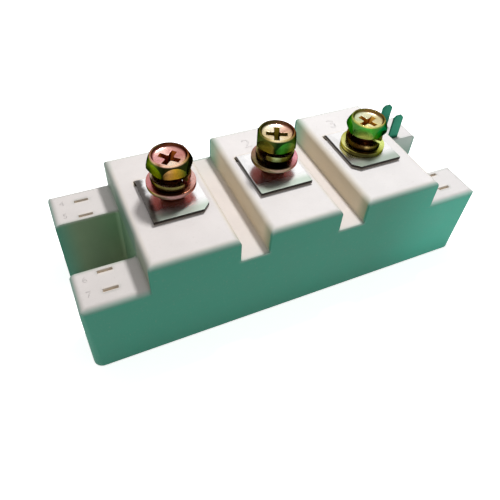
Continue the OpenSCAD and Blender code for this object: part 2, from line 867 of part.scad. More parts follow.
diode_chip(1);  // diode_chip_back
switch_ribbons();
gate_ribbons();
diode_ribbons();
bridge_link();
silicone_gel();
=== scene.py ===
"""Power module with three screw terminals: looks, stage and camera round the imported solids."""

import math

import bpy
import bmesh
from mathutils import Matrix, Vector


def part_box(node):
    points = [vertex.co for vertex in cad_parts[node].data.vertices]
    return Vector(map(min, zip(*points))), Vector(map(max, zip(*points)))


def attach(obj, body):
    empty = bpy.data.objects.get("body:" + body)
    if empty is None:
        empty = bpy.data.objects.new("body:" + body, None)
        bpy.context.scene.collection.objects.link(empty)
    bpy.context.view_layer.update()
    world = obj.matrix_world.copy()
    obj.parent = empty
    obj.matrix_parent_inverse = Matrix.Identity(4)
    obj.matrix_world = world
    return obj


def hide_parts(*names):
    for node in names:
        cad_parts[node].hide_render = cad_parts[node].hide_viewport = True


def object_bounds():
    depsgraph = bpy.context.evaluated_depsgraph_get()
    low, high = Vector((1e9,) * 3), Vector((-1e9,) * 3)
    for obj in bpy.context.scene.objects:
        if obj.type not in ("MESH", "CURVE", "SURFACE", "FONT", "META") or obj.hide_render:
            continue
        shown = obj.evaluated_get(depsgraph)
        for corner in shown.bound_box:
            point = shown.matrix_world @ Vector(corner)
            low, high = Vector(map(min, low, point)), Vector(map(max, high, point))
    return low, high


bl_info = {
    "name": "Power module looks",
    "version": (1, 0, 0),
    "blender": (4, 5, 0),
    "location": "3D View > Sidebar > Module",
    "description": "Finishes, fasteners, moulded numbers, stage and camera of a screw terminal power module",
    "category": "Object",
}

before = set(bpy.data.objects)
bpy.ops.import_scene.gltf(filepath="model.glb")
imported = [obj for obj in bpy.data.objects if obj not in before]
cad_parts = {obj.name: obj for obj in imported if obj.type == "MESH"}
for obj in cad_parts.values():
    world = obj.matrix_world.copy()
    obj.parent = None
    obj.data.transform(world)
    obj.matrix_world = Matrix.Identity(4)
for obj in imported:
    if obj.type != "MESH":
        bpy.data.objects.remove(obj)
CAD_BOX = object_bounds()
MM = 0.001
PLACES = ("left", "centre", "right")


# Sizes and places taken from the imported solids

def middle_x(node):
    low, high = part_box(node)
    return (low[0] + high[0]) / 2


def low_z(node):
    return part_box(node)[0][2]


def high_z(node):
    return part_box(node)[1][2]


SCREW_X = {place: middle_x("flat_washer_" + place) for place in PLACES}
HEAD_TOP = {place: high_z("terminal_screw_" + place) for place in PLACES}
TERMINAL_PITCH = SCREW_X["right"] - SCREW_X["centre"]
PLATE_LEFT, PLATE_FRONT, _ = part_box("main_terminal_left")[0]
PLATE_TOP = high_z("main_terminal_left")
PLATE_T = 0.9 * MM
BLOCK_TOP = high_z("housing")
TAB_W = 2.8 * MM
TAB_RISE = 6.8 * MM
TAB_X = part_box("gate_tab")[1][0] - TAB_W / 2
EAR_TOP = high_z("gate_tab") - TAB_RISE


# Colours and small tools

def colour(code):
    """An sRGB hex value such as e9e3de as linear red, green, blue and alpha."""
    parts = [int(code[i:i + 2], 16) / 255 for i in (0, 2, 4)]
    return (*[c / 12.92 if c <= 0.04045 else ((c + 0.055) / 1.055) ** 2.4 for c in parts], 1.0)


def add(tree, kind, inputs=(), settings=None, stops=None, out=0):
    """Adds a node with its links, values or hex colours, its settings and the stops of a ramp.

    A list of inputs fills the first sockets in order: the value, the levels it runs between and those it then
    takes at a map range. The function gives one output of the node, or all of them where out is None."""
    made = tree.nodes.new("ShaderNode" + kind)
    for key, value in (settings or {}).items():
        setattr(made, key, value)
    for key, value in inputs.items() if isinstance(inputs, dict) else enumerate(inputs):
        if isinstance(value, bpy.types.NodeSocket):
            tree.links.new(value, made.inputs[key])
        else:
            made.inputs[key].default_value = colour(value) if isinstance(value, str) else value
    if stops:
        ramp = made.color_ramp
        while len(ramp.elements) < len(stops):
            ramp.elements.new(1.0)
        for element, (place, code) in zip(ramp.elements, stops):
            element.position = place
            element.color = colour(code)
    return made.outputs if out is None else made.outputs[out]


# Settings of nodes that are used often; a mix takes its colours at sockets 6 and 7 and gives socket 2
MIX = {"settings": {"data_type": "RGBA"}, "out": 2}
FIRST, SECOND = 6, 7
SOFT = {"interpolation_type": "SMOOTHSTEP"}
PLUS = {"operation": "ADD"}
TIMES = {"operation": "MULTIPLY"}
TIMES_PLUS = {"operation": "MULTIPLY_ADD"}
LARGER = {"operation": "MAXIMUM"}


def fresh_material(name):
    """A material, its tree that holds no other node yet, and the object's own coordinates."""
    made = bpy.data.materials.new(name)
    made.use_nodes = True
    tree = made.node_tree
    tree.nodes.clear()
    return made, tree, add(tree, "TexCoord", out="Object")


def dress(names, material):
    """Gives CAD nodes one material."""
    for name in names:
        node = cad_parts[name]
        node.data.materials.clear()
        node.data.materials.append(material)


def deselect():
    if bpy.context.mode != "OBJECT":
        bpy.ops.object.mode_set(mode="OBJECT")
    bpy.ops.object.select_all(action="DESELECT")


def only(piece):
    """Makes a piece the one that is selected and active."""
    deselect()
    piece.select_set(True)
    bpy.context.view_layer.objects.active = piece


def shift(piece, x, y, z):
    """Moves a piece in its mesh."""
    piece.data.transform(Matrix.Translation((x, y, z)))


def spin(piece, degrees):
    """Turns a piece in its mesh about the Z axis."""
    piece.data.transform(Matrix.Rotation(math.radians(degrees), 4, "Z"))


def apply_all(piece):
    """Applies a piece's place, turn and scale."""
    only(piece)
    bpy.ops.object.transform_apply(location=True, rotation=True, scale=True)


def pick(piece, wanted):
    """Selects faces in edit mode by centre and normal."""
    edit = bmesh.from_edit_mesh(piece.data)
    for face in edit.faces:
        face.select_set(bool(wanted(face.calc_center_median(), face.normal)))
    bmesh.update_edit_mesh(piece.data)


def turned(profile, sides):
    """A turned solid on the Z axis, from its profile of radius and level, lowest first."""
    deselect()
    radius, level = profile[0]
    bpy.ops.mesh.primitive_circle_add(vertices=sides, radius=radius, fill_type="NGON", location=(0, 0, level))
    piece = bpy.context.object
    apply_all(piece)
    bpy.ops.object.mode_set(mode="EDIT")
    bpy.ops.mesh.select_all(action="SELECT")
    for wide, high in profile[1:]:
        bpy.ops.mesh.extrude_region_move(TRANSFORM_OT_translate={"value": (0, 0, high - level)})
        bpy.ops.transform.resize(value=(wide / radius, wide / radius, 1), center_override=(0, 0, high))
        radius, level = wide, high
    bpy.ops.mesh.select_all(action="SELECT")
    bpy.ops.mesh.normals_make_consistent(inside=False)
    bpy.ops.object.mode_set(mode="OBJECT")
    return piece


def carve(piece, tool, how="DIFFERENCE"):
    """Cuts a piece with a tool piece, adds it or keeps what they share, and removes the tool."""
    cut = piece.modifiers.new("cut", "BOOLEAN")
    cut.operation = how
    cut.solver = "EXACT"
    cut.object = tool
    only(piece)
    bpy.ops.object.modifier_apply(modifier=cut.name)
    bpy.data.objects.remove(tool, do_unlink=True)


def soften(piece, width, segments, angle):
    """Rounds a piece's edges sharper than an angle and shades it smooth."""
    bevel = piece.modifiers.new("soft edges", "BEVEL")
    bevel.width = width
    bevel.segments = segments
    bevel.limit_method = "ANGLE"
    bevel.angle_limit = math.radians(angle)
    bevel.harden_normals = False
    only(piece)
    bpy.ops.object.modifier_apply(modifier=bevel.name)
    bpy.ops.object.shade_smooth_by_angle(angle=math.radians(35))


def settle(piece, name, materials, replaces=()):
    """Names a finished piece, gives it its materials and puts it on the module."""
    piece.name = name
    piece.data.name = name
    for material in materials:
        piece.data.materials.append(material)
    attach(piece, "root")
    if replaces:
        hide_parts(*replaces)


# Sizes and colours that a user would change

def hex_property(what, default):
    return bpy.props.StringProperty(
        name=what.capitalize(), description="sRGB colour of the " + what, default=default)


def length_property(name, description, default):
    return bpy.props.FloatProperty(
        name=name, description=description, default=default * MM, unit="LENGTH", precision=5)


def strength_property(name, description, default, unit="NONE"):
    return bpy.props.FloatProperty(name=name, description=description, default=default, unit=unit)


class HousingLook(bpy.types.PropertyGroup):
    """Colours of the moulded housing: the tops' own tints, and on the walls painted shade and painted green
    bounce light.
    """

    top_left: hex_property("tops at the left end", "e4ddda")
    top_right: hex_property("tops at the right end", "e2dedd")
    floor: hex_property("floors of the channels", "e2dad6")
    dust: hex_property("specks of dust", "a59c90")
    # From here to the slots, the tints are painted shade and painted green bounce light on walls of the pale
    # plastic
    side: hex_property("outer walls", "3a9078")
    side_end: hex_property("outer walls at the right end", "46b59b")
    channel: hex_property("channel walls", "dccfb6")
    channel_back: hex_property("channel walls at the back", "98bd9f")
    channel_front: hex_property("channel walls at the front", "8f9c7c")
    block_front: hex_property("outer blocks' end walls at the front", "828b78")
    block_back: hex_property("outer blocks' end walls at the back", "7d9180")
    block_middle: hex_property("outer blocks' end walls over the notches", "5e7c68")
    notch: hex_property("side walls of the notches", "869f7d")
    notch_along: hex_property("inner end walls of the notches", "678a69")
    notch_end: hex_property("side walls of the notches at the blocks", "7fa37c")
    notch_foot: hex_property("side walls of the notches at the blocks, low down", "93a983")
    notch_mouth: hex_property("notch walls at the open ends", "57977f")
    right_foot: hex_property("right notch's walls, low down", "9dbdae")
    right_brim: hex_property("right notch's walls, high up", "dce6e0")
    slot: hex_property("walls inside the slots", "f4e8d8")
    grain: length_property("Grain", "Width of one grain of the moulded texture", 0.22)


class FastenerSizes(bpy.types.PropertyGroup):
    """Sizes of the terminal screws and their washers."""

    across_flats: length_property("Across flats", "Size of the hexagon heads", 8)
    head_height: length_property("Head height", "Height of a screw head", 3)
    stack: length_property("Neck", "Length of the thin neck that carries the washers", 4.2)
    thread: length_property("Thread", "Outer diameter of the thread", 5)
    pitch: length_property("Pitch", "Rise of the thread in one turn", 0.8)
    length: length_property("Length", "Length of a screw under its head", 14)
    washer: length_property("Washer", "Outer diameter of a flat washer", 10)
    washer_t: length_property("Washer thickness", "Thickness of a flat washer", 1)
    spring: length_property("Spring washer", "Outer diameter of a spring washer", 8.2)
    spring_section: length_property("Spring section", "Thickness of a spring washer's section", 1.2)


class NumberSizes(bpy.types.PropertyGroup):
    """Sizes of the moulded numbers."""

    block_size: length_property("Block numbers", "Height of the numbers on the blocks", 3.2)
    ear_size: length_property("Ear numbers", "Height of the numbers on the ears", 1.5)
    rise: length_property("Rise", "How far a number stands above the surface", 0.02)


class StageLook(bpy.types.PropertyGroup):
    """Floor, lamps and background."""

    floor: hex_property("floor", "fbfbfb")
    glow: strength_property("Floor glow", "Strength of the floor's own white", 0.71)
    sky: strength_property("Sky", "Strength of the even light", 0.345)
    lamp: strength_property("Lamp", "Power of the main lamp", 0.735, "POWER")
    fill: strength_property("Fill", "Strength of the fill light", 0.24)


GROUPS = {"housing": HousingLook, "fasteners": FastenerSizes, "numbers": NumberSizes, "stage": StageLook}


# Where the tints of the housing lie

# Lines that they follow, in millimetres: the ends and flanks of the module, the tops of the ears, the end
# faces of the outer blocks, the floors of the channels, the sides of the notches and the slots of the ears
END, FLANK, _ = [side / MM for side in CAD_BOX[1]]
EAR = EAR_TOP / MM
BLOCK_FACE = 32.6
CHANNEL_FLOOR = 21.0
NOTCH_SIDE = 7.45
SLOT_X = TAB_X / MM
SLOT_REACH = 1.6
SLOT_IN, SLOT_OUT = 7.6, 13.6

# A range names a vector, its axis, and the values where a tint begins and where it covers all. The vectors
# are the place on the module, that place without its sign, both in millimetres, and the unsigned facing.
PAST_BLOCK = ("size", "X", BLOCK_FACE - 0.4, BLOCK_FACE + 0.4)
IN_CHANNEL = [("place", "Z", CHANNEL_FLOOR + 0.2, CHANNEL_FLOOR - 0.2), ("size", "X", 20, 14)]
IN_NOTCH = [
    ("size", "Y", NOTCH_SIDE + 0.1, NOTCH_SIDE - 0.1),
    PAST_BLOCK,
    ("place", "Z", EAR + 0.8, EAR - 0.2),
]
IN_SLOT = [
    ("size", "X", SLOT_X - SLOT_REACH - 0.1, SLOT_X - SLOT_REACH),
    ("size", "X", SLOT_X + SLOT_REACH, SLOT_X + SLOT_REACH - 0.1),
    ("size", "Y", SLOT_IN, SLOT_IN + 0.25),
    ("size", "Y", SLOT_OUT, SLOT_OUT - 0.1),
]
ON_FLANK = [("size", "Y", FLANK - 1.3, FLANK - 0.6)]
ON_END = [("size", "X", END - 1.4, END - 0.6), ("facing", "X", 0.3, 0.7)]

# Each stack starts with one tint. A layer covers what lies under it where one of its lists of ranges holds.
# The wall stacks paint shade and green bounce light by facing and place; the tops keep the plastic's own tint
HOUSING_STACKS = {
    "tops": ["top_left", ("top_right", [("place", "X", -47, 30)]), ("floor", IN_CHANNEL)],
    "outer_wall_shading": ["side", ("side_end", [("place", "X", 18, 42)])],
    "channel_wall_shading": [
        "channel",
        ("channel_back", [("place", "Y", 9.5, 15.5)]),
        ("channel_front", [("place", "Y", -12.5, -16.5)]),
    ],
    "block_end_shading": [
        "block_front",
        ("block_back", [("place", "Y", -13, 4)]),
        ("block_middle", [("size", "Y", 8.4, 6.4)]),
    ],
    "deep_wall_shading": ["notch_end", ("notch_foot", [("place", "Z", 16, 4)])],
    "right_wall_shading": ["right_foot", ("right_brim", [("place", "Z", 12, 19)])],
    "notch_wall_shading": [
        "notch_along",
        ("deep_wall_shading", [("facing", "Y", 0.3, 0.7)]),
        ("notch", [("size", "X", 34, 40)]),
        ("notch_mouth", [("size", "X", 42, 47)]),
        ("right_wall_shading", [("place", "X", 20, 30)]),
    ],
    "walls": [
        "channel_wall_shading",
        ("block_end_shading", [PAST_BLOCK]),
        ("notch_wall_shading", IN_NOTCH),
        ("slot", IN_SLOT),
        ("outer_wall_shading", ON_FLANK, ON_END),
    ],
}


# Materials

def cover_of(tree, vectors, options):
    """How far a layer covers a place: the largest of its options, each of them the product of its ranges."""
    cover = 0.0
    for ranges in options:
        share = 1.0
        for vector, axis, low, high in ranges:
            step = add(tree, "MapRange", [vectors[vector][axis], low, high], SOFT)
            share = add(tree, "Math", [share, step], TIMES)
        cover = add(tree, "Math", [cover, share], LARGER)
    return cover


def moulded_plastic(look, name="Polyester, glass filled, moulded", walls=1.0):
    """Glass filled polyester, injection moulded: dull, finely grained and pale, with painted shade on the
    walls and painted green bounce light on the outer walls.

    walls tells how far the walls take their painted shade tints instead of the tint of the tops."""
    made, tree, here = fresh_material(name)
    broad = add(tree, "Bevel", {"Radius": 1.5 * MM}, {"samples": 8})
    place = add(tree, "VectorMath", {0: here, "Scale": 1 / MM}, {"operation": "SCALE"})
    size = add(tree, "VectorMath", [place], {"operation": "ABSOLUTE"})
    facing = add(tree, "VectorMath", [broad], {"operation": "ABSOLUTE"})
    vectors = {"place": place, "size": size, "facing": facing}
    vectors = {key: add(tree, "SeparateXYZ", [vector], out=None) for key, vector in vectors.items()}

    # Every stack is mixed from its first tint up, and may hold stacks that were mixed before it
    tints = {key: getattr(look, key) for key in HousingLook.__annotations__}
    for stack, (tint, *layers) in HOUSING_STACKS.items():
        mixed = tints[tint]
        for over, *options in layers:
            cover = cover_of(tree, vectors, options)
            mixed = add(tree, "Mix", {"Factor": cover, FIRST: mixed, SECOND: tints[over]}, **MIX)
        tints[stack] = mixed

    # The tops' tint fades into the walls' painted shade as the surface leans over
    upward = add(tree, "SeparateXYZ", [broad], out="Z")
    lean = add(tree, "Math", [upward], {"operation": "ARCCOSINE"})
    up = add(tree, "MapRange", [lean, 0.08, 1.42, 1.0, 1.0 - walls])
    plain = add(tree, "Mix", {"Factor": up, FIRST: tints["walls"], SECOND: tints["tops"]}, **MIX)

    # Cloudy tone of the resin, a few millimetres across, and specks of dust in it
    cloud = add(tree, "TexNoise", {"Vector": here, "Scale": 1 / (6.25 * MM), "Detail": 4, "Roughness": 0.6})
    speck = add(tree, "TexNoise", {"Vector": here, "Scale": 1 / (0.5 * MM), "Detail": 2.0})
    tone = add(tree, "MapRange", [cloud, 0.3, 0.7, 0.965, 1.03])
    toned = add(tree, "HueSaturation", {"Value": tone, "Color": plain})
    dusty = add(tree, "MapRange", [speck, 0.62, 0.75, 0.0, 0.10])
    final = add(tree, "Mix", {"Factor": dusty, FIRST: toned, SECOND: look.dust}, **MIX)

    # Spark eroded mould texture, drawn coarser than the real grain so that it shows, and faint sink marks
    grain = add(tree, "TexNoise", {"Vector": here, "Scale": 1 / look.grain, "Detail": 3.0})
    waves = add(tree, "TexNoise", {"Vector": here, "Scale": 1 / (11.11 * MM), "Detail": 1.0})
    rounded = add(tree, "Bevel", {"Radius": 0.35 * MM}, {"samples": 6})
    sunk = add(tree, "Bump", {"Height": waves, "Strength": 0.12, "Distance": 0.6 * MM, "Normal": rounded})
    bumped = add(tree, "Bump", {"Height": grain, "Strength": 0.22, "Distance": 0.05 * MM, "Normal": sunk})
    rough = add(tree, "MapRange", [cloud, 0, 1, 0.50, 0.64])
    shader = add(tree, "BsdfPrincipled", {
        "Base Color": final, "Roughness": rough, "IOR": 1.52, "Specular IOR Level": 0.3, "Normal": bumped})
    add(tree, "OutputMaterial", [shader], out=None)
    return made


def bright_nickel():
    """Nickel, bright plated on rolled copper: blurred reflections, fine lines, painted reflections dark at
    the left and grey-green at the front, and painted shade on the cut edges.
    """
    made, tree, here = fresh_material("Nickel, bright plated, rolled sheet")
    place = add(tree, "SeparateXYZ", [here], out=None)
    cloud = add(tree, "TexNoise", {"Vector": here, "Scale": 1 / (2.381 * MM), "Detail": 3.0})

    # Painted dark reflection from a plate's left edge to a ragged line, strong on the left plate and faint on
    # the others;
    # places run from a line just before each plate
    before = 1 * MM
    shifted = add(tree, "Math", [place["X"], before - PLATE_LEFT], PLUS)
    within = add(tree, "Math", [shifted, TERMINAL_PITCH], {"operation": "FLOORED_MODULO"})
    ragged = add(tree, "Math", [cloud, 2.2 * MM, within], TIMES_PLUS)
    edge = add(tree, "MapRange", [ragged, before + 1.8 * MM, before + 3.0 * MM, 1.0, 0.0], SOFT)
    past_left = PLATE_LEFT + 13.5 * MM
    strength = add(tree, "MapRange", [place["X"], past_left, past_left + 1 * MM, 0.95, 0.10])
    dark_reflection = add(tree, "Math", [edge, strength], TIMES)

    # Towards the front: a painted grey-green reflection, and more roughness
    front = [place["Y"], PLATE_FRONT + 1.0 * MM, PLATE_FRONT + 3.8 * MM, 1.0, 0.0]
    to_front = add(tree, "MapRange", front, SOFT)
    bright = add(tree, "Mix", {"Factor": cloud, FIRST: "efedec", SECOND: "fbfafa"}, **MIX)
    with_front_reflection = add(tree, "Mix", {"Factor": to_front, FIRST: bright, SECOND: "9ca69c"}, **MIX)
    face = add(tree, "Mix", {"Factor": dark_reflection, FIRST: with_front_reflection, SECOND: "453f3a"}, **MIX)

    # Painted shade on the cut edges of the sheet: dark, and grey at the plate's foot and on the leg
    facing = add(tree, "SeparateXYZ", [add(tree, "TexCoord", out="Normal")], out=None)
    flat = add(tree, "MapRange", [facing["Z"], 0.2, 0.7])
    foot = PLATE_TOP - PLATE_T
    on_plate = add(tree, "MapRange", [place["Z"], foot + 0.15 * MM, foot + 0.3 * MM])
    edge_shade = add(tree, "Mix", {"Factor": on_plate, FIRST: "8f877d", SECOND: "2f2b28"}, **MIX)
    final = add(tree, "Mix", {"Factor": flat, FIRST: edge_shade, SECOND: face}, **MIX)

    # Rolling lines, drawn coarser than the real ones so that they show
    width_and_run = (1 / (0.09 * MM), 1 / (4 * MM), 1 / (0.5 * MM))
    slant = {"Vector": here, "Rotation": (0, 0, math.radians(12)), "Scale": width_and_run}
    stretched = add(tree, "Mapping", slant)
    lines = add(tree, "TexNoise", {"Vector": stretched, "Scale": 1.0, "Detail": 3.0})
    rounded = add(tree, "Bevel", {"Radius": 0.10 * MM}, {"samples": 6})
    lined = add(tree, "Bump", {"Height": lines, "Strength": 0.03, "Distance": 0.02 * MM, "Normal": rounded})
    even = add(tree, "MapRange", [cloud, 0, 1, 0.18, 0.26])
    rough = add(tree, "Math", [to_front, 0.22, even], TIMES_PLUS)
    shader = add(tree, "BsdfPrincipled", {
        "Base Color": final, "Metallic": 1.0, "Roughness": rough, "Normal": lined})
    add(tree, "OutputMaterial", [shader], out=None)
    return made


def passivated_steel(name, axis_x, low, high, tints, rough=(0.16, 0.30)):
    """Zinc plated steel, yellow passivated: a thin film that turns from gold through olive and green to pink.

    tints lists directions round the screw in degrees, each with the tint at the low and at the high level;
    the tints hold painted reflections, highlights and shade besides the film's colours."""
    made, tree, here = fresh_material(name)
    place = add(tree, "SeparateXYZ", [here], out=None)
    film = add(tree, "TexNoise", {"Vector": here, "Scale": 1 / (1.667 * MM), "Detail": 3, "Distortion": 0.6})
    fine = add(tree, "TexNoise", {"Vector": here, "Scale": 1 / (0.3 * MM), "Detail": 2.0})

    # The direction runs from 0 to 1 in a turn, and the film's clouds shift it a little
    side = add(tree, "Math", [place["X"], -axis_x], PLUS)
    angle = add(tree, "Math", [place["Y"], side], {"operation": "ARCTAN2"})
    around = add(tree, "MapRange", [angle, -math.pi, math.pi])
    drift = 0.05
    shifted = add(tree, "Math", [film, drift, around], TIMES_PLUS)
    centred = add(tree, "Math", [shifted, -drift / 2], PLUS)

    # One ramp of tints for each level
    tints = sorted(tints)
    first, last = tints[0], tints[-1]
    tints = [(-180, *first[1:])] * (first[0] > -180) + tints + [(180, *first[1:])] * (last[0] < 180)
    ramps = []
    for end in (1, -1):
        stops = [((step[0] + 180) / 360, step[end]) for step in tints]
        ramps.append(add(tree, "ValToRGB", [centred], stops=stops))
    level = add(tree, "MapRange", [place["Z"], low, high], SOFT)
    tint = add(tree, "Mix", {"Factor": level, FIRST: ramps[0], SECOND: ramps[1]}, **MIX)

    # Fine wear in tone and surface
    worn = add(tree, "MapRange", [fine, 0.35, 0.65, 0.86, 1.10])
    final = add(tree, "HueSaturation", {"Value": worn, "Color": tint})
    shine = add(tree, "MapRange", [film, 0, 1, *rough])
    dented = add(tree, "Bump", {"Height": fine, "Strength": 0.10, "Distance": 0.04 * MM})
    shader = add(tree, "BsdfPrincipled", {
        "Base Color": final, "Specular Tint": final, "Metallic": 1.0, "Roughness": shine, "Normal": dented})
    add(tree, "OutputMaterial", [shader], out=None)
    return made


def plain_metal(name, base, tint, grain, rough_low, rough_high, metallic=1.0, bump=0.15):
    """A hidden or small piece, of metal unless metallic is 0: two tones that drift, and a fine grain."""
    made, tree, here = fresh_material(name)
    drift = add(tree, "TexNoise", {"Vector": here, "Scale": 1 / (4.167 * MM), "Detail": 4.0})
    fine = add(tree, "TexNoise", {"Vector": here, "Scale": 1 / grain, "Detail": 3.0})
    tone = add(tree, "Mix", {"Factor": drift, FIRST: base, SECOND: tint}, **MIX)
    rough = add(tree, "MapRange", [drift, 0, 1, rough_low, rough_high])
    rounded = add(tree, "Bevel", {"Radius": 0.12 * MM}, {"samples": 4})
    bumped = add(tree, "Bump", {"Height": fine, "Strength": bump, "Distance": 0.03 * MM, "Normal": rounded})
    shader = add(tree, "BsdfPrincipled", {
        "Base Color": tone, "Metallic": metallic, "Roughness": rough, "Normal": bumped})
    add(tree, "OutputMaterial", [shader], out=None)
    return made


def clear_gel():
    """Silicone gel, poured and cured: clear, soft and slightly milky, with a smooth skin."""
    made, tree, here = fresh_material("Silicone gel, clear")
    drift = add(tree, "TexNoise", {"Vector": here, "Scale": 1 / (8.333 * MM), "Detail": 2.0})
    tone = add(tree, "Mix", {"Factor": drift, FIRST: "eef2f4", SECOND: "ffffff"}, **MIX)
    bumped = add(tree, "Bump", {"Height": drift, "Strength": 0.1, "Distance": 0.2 * MM})
    shader = add(tree, "BsdfPrincipled", {
        "Base Color": tone, "Roughness": 0.12, "IOR": 1.41, "Transmission Weight": 0.85, "Normal": bumped})
    add(tree, "OutputMaterial", [shader], out=None)
    return made


# Tints of the fasteners, the passivation film's colours with painted reflections, highlights and shade that
# change round the screw: direction round the screw in degrees, tint at the foot, and at the top where it
# differs

# Flats: film colours with painted reflections, dark at the hexagon's corners
FLATS = {
    "left": [
        (-175, "4d5a1c", "55621e"), (-160, "848c2e", "6d7f2c"), (-142, "8c8e2e", "5b6f26"),
        (-126, "141c06", "121805"), (-112, "b2873f", "a77c4c"), (-92, "b48c2c", "a37c24"),
        (-76, "927c22", "6f661c"), (-65, "2c4514", "284012"), (-48, "6c7029", "5d6423"),
        (-20, "565a22", "4a4c1c"), (20, "6a5c20", "5a4c1a"), (90, "6a5c20", "4a4418"),
    ],
    "centre": [
        (-176, "38461a", "2c3814"), (-158, "77702a", "5f6420"), (-140, "7c7226", "6d671f"),
        (-126, "85783a", "74702a"), (-117, "0a1a08", "081606"), (-103, "3a7a2b", "2c6d22"),
        (-84, "3a5f24", "2b5a1e"), (-68, "70742e", "4a5c22"), (-57, "404c1c", "38461a"),
        (-30, "4e5620", "3e481a"), (90, "564c1c", "46401a"),
    ],
    "right": [
        (-170, "4d7c3a", "427234"), (-164, "36642a", "2f5c24"), (-150, "6f9440", "3f7c2c"),
        (-132, "b0b45c", "3d8028"), (-112, "a4b052", "34702a"), (-104, "6c9040", "2c6424"),
        (-85, "5c8c48", "257346"), (-66, "1c684a"), (-45, "1a7456"), (0, "3c5c2c", "2f5428"),
        (110, "4c6428", "3c5c24"), (165, "66944a", "5a8c42"),
    ],
}
# Crowns: film colours with painted reflections; the high tints at the front are a painted highlight line by
# the rim
CROWNS = {
    "left": [
        (-175, "5c6a28", "b09c68"), (-155, "5c6a24", "c8a07c"), (-137, "1c240a", "8c6040"),
        (-122, "0e1204", "e4b8a0"), (-98, "2c260c", "ecc8a8"), (-75, "24280c", "e0b494"),
        (-55, "1c260c", "b08c5c"), (-15, "4c4e1e", "6c3c24"), (90, "4c3c1c", "3c180c"),
    ],
    "centre": [
        (-170, "38461a", "5c5a28"), (-145, "4c4c1a", "a89458"), (-124, "2c3814", "dcc898"),
        (-114, "0e2009", "e0cca0"), (-90, "1c4416", "b8a46c"), (-60, "344418", "8c7444"),
        (-10, "3c4a1c", "6c3c2c"), (70, "2c5420", "4a281c"), (130, "2c4c1c", "5c5c30"),
    ],
    "right": [
        (170, "4f8038", "8ca050"), (-165, "4a7c36", "a8a858"), (-130, "43903a", "d8c878"),
        (-112, "3f8c2c", "c4bc68"), (-92, "3c7c2e", "a0a45a"), (-60, "236c4a", "6c8448"),
        (-10, "2f5a2c", "7c6434"), (60, "4a5c24", "6c5428"), (120, "4a7030", "7c7c40"),
    ],
}
# Dishes: painted highlights on the floor, and painted shade on the far wall in the high tints at the back
DISHES = {
    "left": [
        (-165, "d69a98", "c08880"), (-135, "e8c4b4", "d8a498"), (-105, "f4e0cc", "e8c0ac"),
        (-75, "ecd0b8", "e0b09c"), (-45, "dcac98", "b07860"), (0, "c08078", "5c2c20"),
        (60, "d49c94", "4c2014"), (110, "ecc4b8", "5c2c20"), (150, "d8a09c", "8c5048"),
    ],
    "centre": [
        (-160, "dcc8a0", "b09c70"), (-130, "f0e4c8", "e0cca4"), (-105, "f8f0dc", "f0dcbc"),
        (-70, "ecd8b0", "cca878"), (-35, "d8bc94", "a07858"), (10, "c89c88", "6c3c2c"),
        (60, "e0c4b0", "4c2c1c"), (110, "e8dcc4", "3c3c1c"), (150, "d4c49c", "6c6838"),
    ],
    "right": [
        (-160, "e0d898", "c8bc74"), (-130, "f0e8b0", "e0d48c"), (-105, "f8f0c4", "f0e4a8"),
        (-70, "e8dc9c", "ccb870"), (-35, "d8cca0", "a8945c"), (10, "c8bc90", "6c4c28"),
        (60, "dcd8b4", "6c4824"), (110, "d8dcc0", "6c7038"), (150, "ccd4a8", "8c9450"),
    ],
}
# Lower edges: painted highlight at the front, painted shade at the back
HEMS = {
    "left": [
        (-160, "a8ac48"), (-130, "5c6c24"), (-112, "d8c080"), (-80, "d0b860"), (-55, "e4dcb8"),
        (-20, "6c6428"), (90, "4c4018"),
    ],
    "centre": [
        (-165, "8c8248"), (-140, "a49c5c"), (-117, "b8ac78"), (-95, "5c8c3c"), (-70, "8c9c5c"),
        (-30, "4c5a20"), (90, "3c4018"),
    ],
    "right": [
        (-165, "b8c070"), (-135, "d0cc88"), (-112, "b8b470"), (-90, "3c7c50"), (-50, "20684c"),
        (90, "3c5c28"),
    ],
}
# Undersides of the flat washers: painted shade, seen in the plates' reflections
UNDERSIDE_SHADES = {
    "left": [(0, "944c44")],
    "centre": [(0, "80443c")],
    "right": [(0, "6c6838")],
}
# Spring washers' outer edges and ends: painted highlights
SPRING_EDGE_HIGHLIGHTS = {
    "left": [
        (-165, "b8a890"), (-130, "e0cdc0"), (-108, "c8b89c"), (-90, "a89c54"), (-60, "a09450"),
        (-20, "7c5c3c"), (90, "5c4420"),
    ],
    "centre": [
        (-165, "a09060"), (-135, "e4d4c4"), (-118, "c0d8a8"), (-100, "c8b49c"), (-60, "8c9450"),
        (-20, "6c6c34"), (90, "5c5430"),
    ],
    "right": [
        (-165, "6c4c18"), (-140, "7c3c14"), (-122, "fce8a0"), (-108, "e0c478"), (-90, "a09848"),
        (-50, "7c8438"), (90, "5c5024"),
    ],
}
# Cross recesses: painted shade, darker deeper down
RECESS_SHADES = {
    "left": [(0, "5c2a08", "7c3c12")],
    "centre": [(0, "3c3208", "5a4c14")],
    "right": [(0, "7c4c10", "a87c30")],
}
